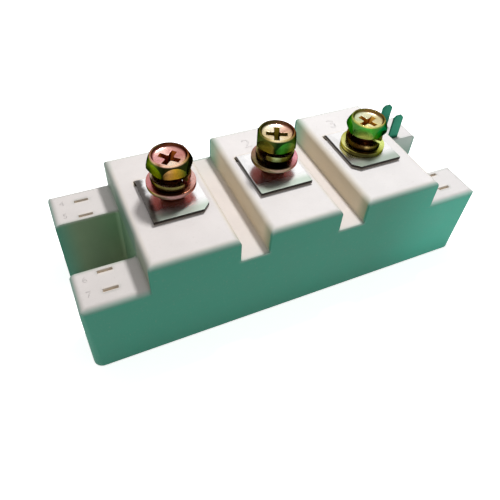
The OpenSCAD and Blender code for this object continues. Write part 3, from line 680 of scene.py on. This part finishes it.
# Flat washers: film colours; the dark high tints at the front are painted shade under the spring washers
FLAT_WASHERS = {
    "left": [
        (-175, "8c8450", "c07c7c"), (-155, "90804c", "94504a"), (-135, "988468", "4c2418"),
        (-110, "b08c88", "3c2014"), (-85, "ac8480", "482818"), (-60, "a87c74", "6c4434"),
        (-35, "a87468", "c4948a"), (0, "a87468", "d8b0a8"), (90, "94685c", "c89088"),
    ],
    "centre": [
        (-175, "6c5c38", "7c7050"), (-155, "7c6848", "6c5c40"), (-130, "a08c70", "3c2c14"),
        (-105, "b09888", "2c2410"), (-80, "a89078", "3c3020"), (-60, "c48c88", "a86c6c"),
        (-35, "c88088", "dc98a0"), (0, "c88490", "e0a4ac"), (90, "a07070", "b88080"),
    ],
    "right": [
        (-178, "b4ac58", "e0dc90"), (-160, "4c4420", "b0a850"), (-135, "3c3818", "4c4018"),
        (-110, "4c4828", "3c3414"), (-85, "7c7c44", "5c5a24"), (-65, "94983c", "a8ac4c"),
        (-40, "a8b050", "dce88c"), (0, "b4bc60", "e4ec98"), (90, "8c8c40", "a8a850"),
    ],
}
# Spring washer bodies: film colours with painted shade and painted reflections on the outer face
SPRING_WASHERS = {
    "left": [
        (-170, "4c4020", "6c6034"), (-135, "4c4420", "6c6434"), (-110, "5c5830", "80784a"),
        (-80, "6c6438", "948850"), (-50, "8c5c48", "b47c68"), (-20, "946450", "c09080"),
        (90, "4a3c1c", "6c5a30"),
    ],
    "centre": [
        (-170, "4c4020", "6c6038"), (-148, "342408", "5c4c28"), (-130, "3c3c14", "6c6830"),
        (-116, "4c5c28", "9cac74"), (-95, "3c3c14", "54541f"), (-60, "44441c", "5c5424"),
        (-25, "5c4428", "8c6c4c"), (90, "4a3c1c", "6c5a30"),
    ],
    "right": [
        (-170, "44380f", "5c5020"), (-145, "3c2408", "54401c"), (-125, "4c3414", "6c5430"),
        (-116, "8c6c34", "f0d890"), (-104, "5c4c20", "8c7838"), (-80, "44441c", "5c5c28"),
        (-40, "4c5424", "6c7438"), (90, "4a3c14", "6c5a24"),
    ],
}
# Neck and thread: painted shade
SHANK_SHADE = [(0, "4c241a", "5c2e20")]


# Forms of the fasteners

# Turns of the heads and of their cross recesses, and directions of the spring washers' high ends, in degrees
HEAD_TURNS = {"left": 24.5, "centre": 33, "right": 45}
CROSS_TURNS = {"left": 45, "centre": 64, "right": 20}
SPRING_STARTS = {"left": 300, "centre": 210, "right": 305}

# Radius and level in millimetres: the round blank of a head, over its underside, and the dish, under its top.
# The dish has a rounded foot and a floor that falls a little to the middle.
HEAD_BLANK = [
    (4.05, 0), (4.42, 0.3), (4.67, 0.62), (4.67, 1.0), (4.53, 1.45), (4.36, 1.85), (4.17, 2.2), (4.0, 2.48),
    (3.86, 2.75),
]
HEAD_DISH = [
    (0.3, -0.98), (1.4, -0.9), (2.7, -0.8), (3.08, -0.68), (3.27, -0.48), (3.37, -0.25), (3.43, -0.05),
    (3.55, 0.08), (3.7, 0.6),
]
RIM_INSET = 0.3

# The tool that cuts the cross recess, in millimetres: its core, the size of a bar and the level of the bar's
# middle, how much the bar narrows to its foot, and how deep the tool stands under the head's top
CROSS_CORE = [(0.7, -1.8), (1.0, 0), (1.05, 0.6)]
CROSS_BAR = (5.7, 1.35, 2.4)
CROSS_BAR_LEVEL = -0.6
CROSS_BAR_TAPER = (0.30, 0.55, 1)
CROSS_DEPTH = 0.7

# Where the surfaces of a head end, in millimetres from the middle of its top, and the slopes that tell its
# lower edge and its crown
RECESS_REACH, RECESS_LEVEL = 2.9, -0.95
DISH_REACH = 3.38
EDGE_SLOPE = -0.1
CROWN_SLOPE, CROWN_LEVEL = 0.12, -2.1

# Moulded numbers, in millimetres: 1 to 3 stand aside from and behind the screws, 4 to 7 in rows on the left
# ears. The font's size is that many times the height of its numbers.
BLOCK_NUMBER = (-1.3, 10.9)
EAR_NUMBER_X = -44.1
EAR_NUMBER_ROWS = (13.3, 9.3, -9.3, -13.0)
SIZE_TO_HEIGHT = 1.4


# Operators, one for each piece or group of like pieces

class MODULE_OT_housing(bpy.types.Operator):
    """Gives the moulded housing its finish"""

    bl_idname = "module.housing"
    bl_label = "Housing"

    def execute(self, context):
        dress(["housing"], moulded_plastic(context.scene.module_housing))
        return {"FINISHED"}


class MODULE_OT_terminals(bpy.types.Operator):
    """Gives the terminal plates and blade tabs their plating"""

    bl_idname = "module.terminals"
    bl_label = "Terminals and tabs"

    def execute(self, context):
        dress(["main_terminal_" + place for place in PLACES], bright_nickel())
        # The tin plate's dark teal tones are a painted green reflection
        tab = plain_metal("Brass, tin plated, stamped", "0f4f3c", "2c7f66", 0.5 * MM, 0.30, 0.42, bump=0.5)
        dress(["gate_tab", "emitter_tab"], tab)
        return {"FINISHED"}


class MODULE_OT_screws(bpy.types.Operator):
    """Models the three terminal screws with threads, dished heads and cross recesses"""

    bl_idname = "module.screws"
    bl_label = "Terminal screws"

    def execute(self, context):
        sizes = context.scene.module_fasteners
        for place in PLACES:
            head = self.head(sizes, HEAD_TURNS[place], CROSS_TURNS[place])
            shank = self.shank(sizes)
            only(head)
            shank.select_set(True)
            bpy.ops.object.join()
            screw = bpy.context.view_layer.objects.active
            x = SCREW_X[place]
            top = HEAD_TOP[place]
            base = top - sizes.head_height

            # Each surface's tints, film colours with painted reflections and shade: the levels of its low and
            # high tints, its tints and, on dull surfaces, its roughness
            film_and_light_tints = {
                "flats": (base, top - 0.6 * MM, FLATS[place]),
                "crown": (top - 0.34 * MM, top - 0.06 * MM, CROWNS[place]),
                "dish": (top - 0.8 * MM, top - 0.5 * MM, DISHES[place]),
                "recess": (top - 2.4 * MM, top - 0.8 * MM, RECESS_SHADES[place], (0.3, 0.45)),
                "lower edge": (base, top, HEMS[place]),
                "shank": (base - 6 * MM, base, SHANK_SHADE, (0.35, 0.5)),
            }
            finishes = [
                passivated_steel(f"Steel, yellow passivated, {surface}, {place}", x, *film)
                for surface, film in film_and_light_tints.items()
            ]
            shift(screw, x, 0, base)
            settle(screw, "screw_" + place, finishes, ["terminal_screw_" + place])
            for face in screw.data.polygons:
                spot = (face.center - Vector((x, 0, top))) / MM
                surface = self.surface(spot, face.normal.z, -sizes.head_height / MM)
                face.material_index = list(film_and_light_tints).index(surface)
        return {"FINISHED"}

    def surface(self, spot, slope, underside):
        """Name of the surface at a spot, in millimetres from the middle of the head's top."""
        reach = math.hypot(spot.x, spot.y)
        if spot.z < underside + 0.02:
            return "shank"
        if slope < EDGE_SLOPE:
            return "lower edge"
        if reach < RECESS_REACH and spot.z < RECESS_LEVEL:
            return "recess"
        if reach < DISH_REACH:
            return "dish"
        return "crown" if slope > CROWN_SLOPE and spot.z > CROWN_LEVEL else "flats"

    def head(self, sizes, head_turn, cross_turn):
        """Hexagon under a round crown, with dish and cross recess; its underside is at level 0."""
        corner = sizes.across_flats / math.sqrt(3)
        high = sizes.head_height
        deselect()
        bpy.ops.mesh.primitive_cylinder_add(vertices=6, radius=corner, depth=high, location=(0, 0, high / 2))
        head = bpy.context.object
        apply_all(head)
        spin(head, head_turn)

        # A turned blank rounds the corners of the hexagon above and below
        blank = [(radius * MM, level * MM) for radius, level in HEAD_BLANK]
        rim = (sizes.across_flats / 2 - RIM_INSET * MM, high)
        carve(head, turned([*blank, rim], 96), "INTERSECT")
        carve(head, turned([(radius * MM, high + level * MM) for radius, level in HEAD_DISH], 72))

        # The cross recess: two tapered bars and a tapered core
        cross = self.bar(0)
        carve(cross, self.bar(90), "UNION")
        carve(cross, turned([(radius * MM, level * MM) for radius, level in CROSS_CORE], 24), "UNION")
        spin(cross, cross_turn)
        shift(cross, 0, 0, high - CROSS_DEPTH * MM)
        carve(head, cross)
        soften(head, 0.09 * MM, 2, 20)
        return head

    def bar(self, degrees):
        """One bar of the cross, narrower and shorter towards its tip."""
        deselect()
        size = [side * MM for side in CROSS_BAR]
        bpy.ops.mesh.primitive_cube_add(size=1, location=(0, 0, CROSS_BAR_LEVEL * MM), scale=size)
        bar = bpy.context.object
        apply_all(bar)
        bpy.ops.object.mode_set(mode="EDIT")
        bpy.ops.mesh.select_all(action="DESELECT")
        pick(bar, lambda c, n: n.z < -0.9)
        bpy.ops.transform.resize(value=CROSS_BAR_TAPER)
        bpy.ops.object.mode_set(mode="OBJECT")
        spin(bar, degrees)
        return bar

    def shank(self, sizes):
        """Neck for the washers, and a thread cut as one helix into the shank below it."""
        long = sizes.length
        radius = sizes.thread / 2
        rings = 150
        deselect()
        middle_place = (0, 0, -long / 2)
        bpy.ops.mesh.primitive_cylinder_add(vertices=48, radius=radius, depth=long, location=middle_place)
        shank = bpy.context.object
        apply_all(shank)
        bpy.ops.object.mode_set(mode="EDIT")
        bpy.ops.mesh.select_all(action="DESELECT")
        edit = bmesh.from_edit_mesh(shank.data)
        for edge in edit.edges:
            edge.select_set(abs(edge.verts[0].co.z - edge.verts[1].co.z) > long / 2)
        bmesh.update_edit_mesh(shank.data)
        bpy.ops.mesh.subdivide(number_cuts=rings - 1)
        bpy.ops.object.mode_set(mode="OBJECT")

        # The depth at a point follows how far it is along its turn, and the tip is chamfered
        depth = 0.55 * sizes.pitch
        neck = radius - 0.35 * MM
        tip = radius - 0.6 * MM
        steepness = 2.4
        for point in shank.data.vertices:
            x, y, z = point.co
            reach = math.hypot(x, y)
            phase = (z / sizes.pitch - math.atan2(y, x) / math.tau) % 1.0
            cut = radius - depth * (1 - min(1.0, steepness * abs(phase - 0.5)))
            new_reach = neck if z > -sizes.stack else min(cut, tip + (z + long))
            point.co.x, point.co.y = x * new_reach / reach, y * new_reach / reach
        only(shank)
        bpy.ops.object.shade_smooth_by_angle(angle=math.radians(28))
        return shank


class MODULE_OT_washers(bpy.types.Operator):
    """Models the flat washers and the split spring washers"""

    bl_idname = "module.washers"
    bl_label = "Washers"

    def execute(self, context):
        sizes = context.scene.module_fasteners
        for place in PLACES:
            x = SCREW_X[place]
            node = "flat_washer_" + place
            low, high = low_z(node), high_z(node)
            film_and_light_tints = {
                "Steel, pink passivated, ": (low + 0.75 * MM, high, FLAT_WASHERS[place]),
                "Steel, passivated, underside, ": (low, low + 0.3 * MM, UNDERSIDE_SHADES[place], (0.3, 0.45)),
            }
            washer = self.flat(sizes)
            shift(washer, x, 0, low)
            finishes = [passivated_steel(name + place, x, *film) for name, film in film_and_light_tints.items()]
            settle(washer, "plain_washer_" + place, finishes, [node])
            for face in washer.data.polygons:
                # Faces that look down take the underside's painted shade
                face.material_index = int(face.normal.z < -0.5)

            node = "spring_washer_" + place
            low, high = low_z(node), high_z(node)
            # The first finish holds the spring washer's body tints with painted shade; the second is a
            # painted highlight on the outer edges and the ends
            film_and_light_tints = {
                "Spring steel, brown passivated, ": SPRING_WASHERS[place],
                "Spring steel, worn edge, ": SPRING_EDGE_HIGHLIGHTS[place],
            }
            washer = self.spring(sizes, SPRING_STARTS[place], high - low)
            shift(washer, x, 0, low)
            finishes = [
                passivated_steel(name + place, x, low, high, tints, (0.2, 0.34))
                for name, tints in film_and_light_tints.items()
            ]
            settle(washer, "split_washer_" + place, finishes, [node])
        return {"FINISHED"}

    def flat(self, sizes):
        """Ring with rounded edges; its underside is at level 0."""
        high = sizes.washer_t
        ring = turned([(sizes.washer / 2, 0), (sizes.washer / 2, high)], 96)
        bore = sizes.thread / 2 - 0.2 * MM
        carve(ring, turned([(bore, -high), (bore, 2 * high)], 64))
        soften(ring, 0.16 * MM, 3, 40)
        return ring

    def spring(self, sizes, start, height):
        """One open turn of a square section with rounded edges, from level 0 up to its full height."""
        section = sizes.spring_section
        inner = sizes.thread / 2 - 0.05 * MM
        wide = (sizes.spring / 2 - inner) / 2
        middle_reach = inner + wide
        half_gap = math.radians(6)
        squareness = 0.78
        deselect()
        bpy.ops.mesh.primitive_torus_add(
            major_segments=120, minor_segments=16, major_radius=middle_reach, minor_radius=wide)
        ring = bpy.context.object
        bpy.ops.object.mode_set(mode="EDIT")
        bpy.ops.mesh.select_all(action="DESELECT")
        pick(ring, lambda c, n: abs(math.atan2(c.y, c.x)) > math.pi - half_gap)
        bpy.ops.mesh.delete(type="FACE")
        bpy.ops.mesh.select_mode(type="VERT")
        bpy.ops.mesh.select_non_manifold(extend=False)
        bpy.ops.mesh.fill_holes(sides=0)
        bpy.ops.object.mode_set(mode="OBJECT")

        # The round section is pressed into a square one with round corners, and the turn rises to full height
        for point in ring.data.vertices:
            x, y, z = point.co
            angle = math.atan2(y, x)
            out = (math.hypot(x, y) - middle_reach) / wide
            up = z / wide
            fold = math.hypot(out, up) or 1.0
            out, up = out / fold, up / fold
            stretch = 1 + (1 / max(abs(out), abs(up)) - 1) * squareness
            reach = middle_reach + out * stretch * wide
            rise = (height - section) * (math.pi - angle) / math.tau
            level = section / 2 * (1 + up * stretch) + rise
            point.co = (reach * math.cos(angle), reach * math.sin(angle), level)

        # The outer edges and the two ends take the painted highlight
        highlight_reach = inner + 1.55 * wide
        highlight_level = 0.34 * section
        for face in ring.data.polygons:
            x, y, z = face.center
            angle = math.atan2(y, x)
            level = z - section / 2 - (height - section) * (math.pi - angle) / math.tau
            edge = math.hypot(x, y) > highlight_reach and abs(level) > highlight_level
            end = abs(face.normal.z) < 0.2 and abs(angle) > math.pi - 1.01 * half_gap
            face.material_index = int(edge or end)
        spin(ring, start - 180)
        only(ring)
        bpy.ops.object.shade_smooth_by_angle(angle=math.radians(40))
        return ring


class MODULE_OT_numbers(bpy.types.Operator):
    """Models the low moulded numbers on the blocks and ears"""

    bl_idname = "module.numbers"
    bl_label = "Moulded numbers"

    def execute(self, context):
        sizes = context.scene.module_numbers
        plastic = moulded_plastic(context.scene.module_housing, "Polyester, glass filled, raised", 0.0)
        aside, behind = [step * MM for step in BLOCK_NUMBER]
        spots = [(SCREW_X[place] + aside, behind, BLOCK_TOP, sizes.block_size) for place in PLACES]
        spots += [(EAR_NUMBER_X * MM, y * MM, EAR_TOP, sizes.ear_size) for y in EAR_NUMBER_ROWS]
        for number, (*spot, size) in enumerate(spots, 1):
            deselect()
            bpy.ops.object.text_add(location=(0, 0, 0))
            letter = bpy.context.object.data
            letter.body = str(number)
            letter.size = size * SIZE_TO_HEIGHT
            letter.extrude = sizes.rise / 2
            letter.bevel_depth = sizes.rise / 3
            letter.bevel_resolution = 1
            letter.resolution_u = 4
            letter.align_x = "CENTER"
            letter.align_y = "CENTER"
            bpy.ops.object.convert(target="MESH")
            mark = bpy.context.object
            shift(mark, *spot)
            settle(mark, "number_" + str(number), [plastic])
        return {"FINISHED"}


class MODULE_OT_base(bpy.types.Operator):
    """Gives the base plate, the adhesive and the nuts their finishes"""

    bl_idname = "module.base"
    bl_label = "Base and nuts"

    def execute(self, context):
        nickel = plain_metal("Copper, nickel plated, ground", "a9a7a0", "c4c2bc", 0.25 * MM, 0.26, 0.40)
        adhesive = plain_metal("Silicone adhesive, cured", "c9c4bb", "b8b2a8", 0.4 * MM, 0.5, 0.6, 0.0, 0.3)
        zinc = plain_metal("Steel, zinc plated, clear", "a9aaa4", "c0c0ba", 0.2 * MM, 0.28, 0.42)
        dress(["base_plate"], nickel)
        dress(["adhesive_seal"], adhesive)
        dress(["captive_nut_" + place for place in PLACES], zinc)
        return {"FINISHED"}


class MODULE_OT_circuit(bpy.types.Operator):
    """Gives the hidden circuit its finishes"""

    bl_idname = "module.circuit"
    bl_label = "Circuit"

    def execute(self, context):
        sides = ("left", "right")
        solder = plain_metal("Solder, tin silver", "9a9c9e", "b4b6b8", 0.3 * MM, 0.3, 0.45)
        copper = plain_metal("Copper, bare, etched", "b8663f", "c98257", 0.2 * MM, 0.32, 0.45)
        alumina = plain_metal("Alumina, fired", "efeee8", "e2e1da", 0.15 * MM, 0.45, 0.6, 0.0)
        silicon = plain_metal("Silicon, metallised", "5a5f66", "74797f", 0.4 * MM, 0.2, 0.3)
        ribbon = plain_metal("Aluminium ribbon, soft", "c9cacb", "dcdcdd", 0.12 * MM, 0.25, 0.4)
        pads = [name + "_pad" for name in ("cathode", "anode", "collector", "emitter", "gate")]
        dress(["tile_solder_" + side for side in sides] + ["chip_solder"], solder)
        dress(["bottom_copper_" + side for side in sides] + pads + ["bridge_link"], copper)
        dress(["ceramic_tile_" + side for side in sides], alumina)
        dress(["switch_chip_inner", "switch_chip_outer", "diode_chip_front", "diode_chip_back"], silicon)
        dress(["switch_ribbons", "gate_ribbons", "diode_ribbons"], ribbon)
        dress(["silicone_gel"], clear_gel())
        return {"FINISHED"}


class MODULE_OT_stage(bpy.types.Operator):
    """Sets the floor, the lamps, the background and the camera of the photograph"""

    bl_idname = "module.stage"
    bl_label = "Stage and camera"

    def execute(self, context):
        look = context.scene.module_stage
        floor_width = 1.6
        floor_level = -0.02 * MM
        deselect()
        bpy.ops.mesh.primitive_plane_add(size=floor_width, location=(0, 0, 0))
        floor = bpy.context.object
        floor.name = "floor"
        shift(floor, 0, 0, floor_level)
        made, tree, _ = fresh_material("Paper, white, matt")
        paper = add(tree, "BsdfDiffuse", {"Color": look.floor})
        lift = add(tree, "Math", [self.seen(tree), look.glow], TIMES)
        glow = add(tree, "Emission", {"Color": "ffffff", "Strength": lift})
        both = add(tree, "AddShader", [paper, glow])
        add(tree, "OutputMaterial", [both], out=None)
        floor.data.materials.append(made)

        world = bpy.data.worlds.new("Even light")
        context.scene.world = world
        world.use_nodes = True
        tree = world.node_tree
        tree.nodes.clear()
        strength = add(tree, "MapRange", [self.seen(tree), 0, 1, look.sky])
        sky = add(tree, "Background", {"Color": "ffffff", "Strength": strength})
        add(tree, "OutputWorld", [sky], out=None)

        # The main lamp stands near the module, high over its right end and a little behind it
        lamp = bpy.data.lights.new("main lamp", "POINT")
        lamp.energy = look.lamp
        lamp.shadow_soft_size = 12 * MM
        lamp_place = Vector((33, 33, 170)) * MM
        self.place("main lamp", lamp, Matrix.Translation(lamp_place))
        lamp = bpy.data.lights.new("fill lamp", "SUN")
        lamp.energy = look.fill
        lamp.angle = math.radians(60)
        aim = Vector((0.5, 0.75, -0.5)).to_track_quat("-Z", "Y")
        self.place("fill lamp", lamp, aim.to_matrix().to_4x4())

        # The camera of the photograph: its axes in the module's frame, and its place in millimetres
        right = Vector((0.90844487, -0.41436222, 0.0550624))
        down = Vector((-0.27708014, -0.69555692, -0.66289303))
        ahead = Vector((0.31297686, 0.58694508, -0.74668666))
        eye = Vector((-43.6732, -74.4230, 96.4764)) * MM
        focus_in_pixels, picture_in_pixels = 499.983, 500
        camera = bpy.data.cameras.new("camera")
        camera.sensor_width = 36
        camera.lens = camera.sensor_width * focus_in_pixels / picture_in_pixels
        camera.clip_start = 0.002
        camera.clip_end = 10
        axes = Matrix((right, -down, -ahead)).transposed().to_4x4()
        context.scene.camera = self.place("camera", camera, Matrix.Translation(eye) @ axes)
        context.scene.view_settings.view_transform = "Standard"
        return {"FINISHED"}

    def place(self, name, data, matrix):
        """Puts a lamp or a camera in the scene."""
        holder = bpy.data.objects.new(name, data)
        holder.matrix_world = matrix
        bpy.context.collection.objects.link(holder)
        return holder

    def seen(self, tree):
        """1 for camera rays and for reflected and refracted ones, so that metal shows the white too."""
        ray = add(tree, "LightPath", out=None)
        seen = add(tree, "Math", [ray["Is Camera Ray"], ray["Is Glossy Ray"]], LARGER)
        return add(tree, "Math", [seen, ray["Is Transmission Ray"]], LARGER)


OPERATORS = (
    MODULE_OT_housing, MODULE_OT_terminals, MODULE_OT_screws, MODULE_OT_washers,
    MODULE_OT_numbers, MODULE_OT_base, MODULE_OT_circuit, MODULE_OT_stage,
)


class MODULE_PT_panel(bpy.types.Panel):
    """The module's pieces and their settings"""

    bl_label = "Power module"
    bl_idname = "MODULE_PT_panel"
    bl_space_type = "VIEW_3D"
    bl_region_type = "UI"
    bl_category = "Module"

    def draw(self, context):
        for operator in OPERATORS:
            self.layout.operator(operator.bl_idname)
        for name, group in GROUPS.items():
            box = self.layout.box()
            box.label(text=name.capitalize())
            for key in group.__annotations__:
                box.prop(getattr(context.scene, "module_" + name), key)


def register():
    for group in GROUPS.values():
        bpy.utils.register_class(group)
    for operator in OPERATORS:
        bpy.utils.register_class(operator)
    bpy.utils.register_class(MODULE_PT_panel)
    for name, group in GROUPS.items():
        setattr(bpy.types.Scene, "module_" + name, bpy.props.PointerProperty(type=group))


def unregister():
    for name in GROUPS:
        delattr(bpy.types.Scene, "module_" + name)
    bpy.utils.unregister_class(MODULE_PT_panel)
    for operator in reversed(OPERATORS):
        bpy.utils.unregister_class(operator)
    for group in reversed(list(GROUPS.values())):
        bpy.utils.unregister_class(group)


def main():
    register()
    bpy.ops.module.housing()
    bpy.ops.module.terminals()
    bpy.ops.module.screws()
    bpy.ops.module.washers()
    bpy.ops.module.numbers()
    bpy.ops.module.base()
    bpy.ops.module.circuit()
    bpy.ops.module.stage()


if __name__ == "__main__":
    main()
